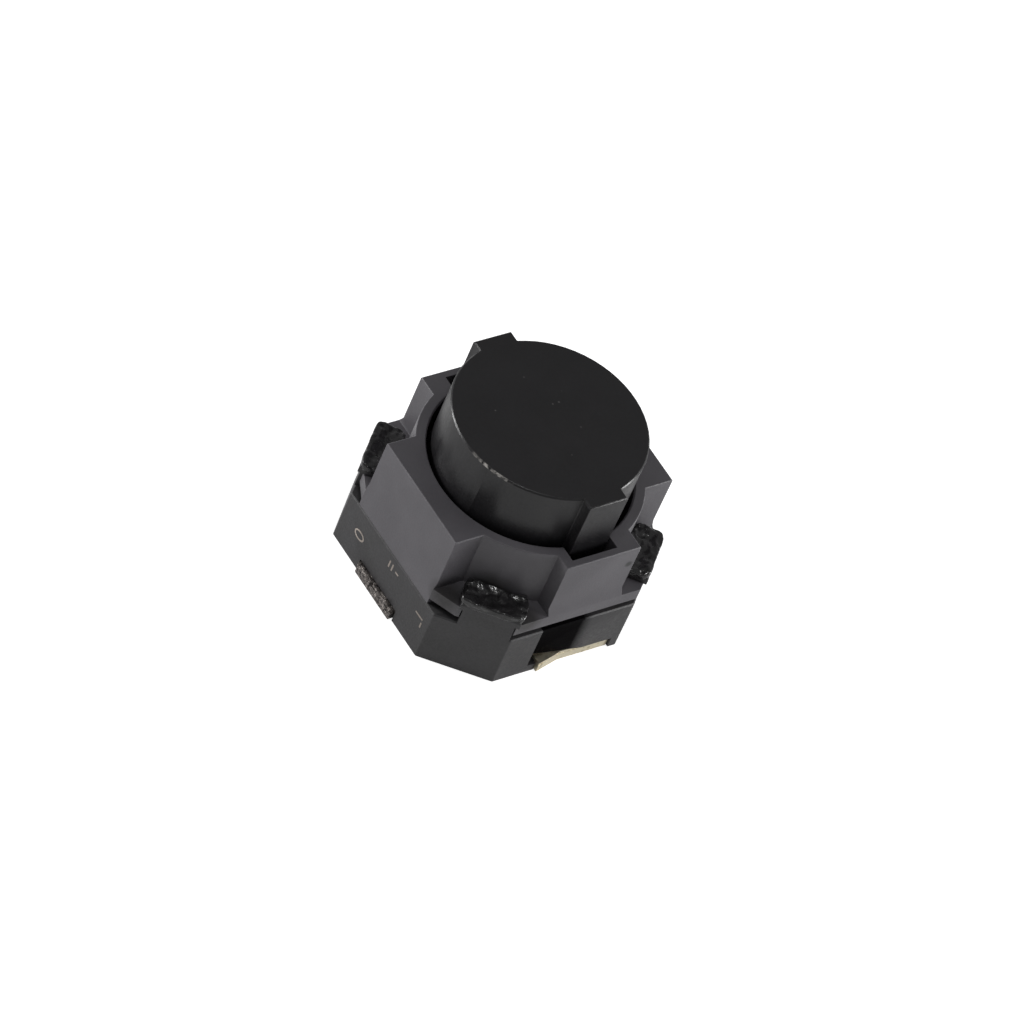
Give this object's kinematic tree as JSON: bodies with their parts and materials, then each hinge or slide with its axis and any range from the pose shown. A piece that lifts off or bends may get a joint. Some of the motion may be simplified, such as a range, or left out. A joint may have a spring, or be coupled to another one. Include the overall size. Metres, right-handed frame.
{
  "type": "tactile push button switch",
  "caption": "Sealed surface-mount tactile switch: octagonal base, staked cover and round keyed push button.",
  "frame": {"origin": "on the plunger's axis, at the seating plane of the base and its soldering feet", "axes": "+Z along the plunger's axis, away from the circuit board; +X and +Y square to the base's sides"},
  "size_m": [0.0102, 0.0102, 0.0082],
  "materials": {
    "base_plastic": "black glass-filled nylon",
    "cover_plastic": "dark grey nylon",
    "plunger_plastic": "black acetal, satin",
    "gold_plate": "thin gold over nickel",
    "tin_plate": "tinned, dull",
    "spring_steel": "bright",
    "silicone": "translucent grey"
  },
  "bodies": {
    "housing": {"base_housing": "base_plastic", "cover": "cover_plastic", "centre_contact": "tin_plate", "outer_contact_front": "gold_plate", "outer_contact_rear": "gold_plate", "snap_dome": "spring_steel", "seal_membrane": "silicone", "return_spring": "spring_steel"},
    "button": {"plunger": "plunger_plastic"}
  },
  "joints": [
    {"name": "button_travel", "type": "slide", "parent": "housing", "child": "button", "axis": [0, 0, -1], "range_m": [0, 0.0008], "stiffness_N_per_m": 1500, "springref_m": -0.0004, "deforming": ["snap_dome", "seal_membrane", "return_spring"]}
  ]
}
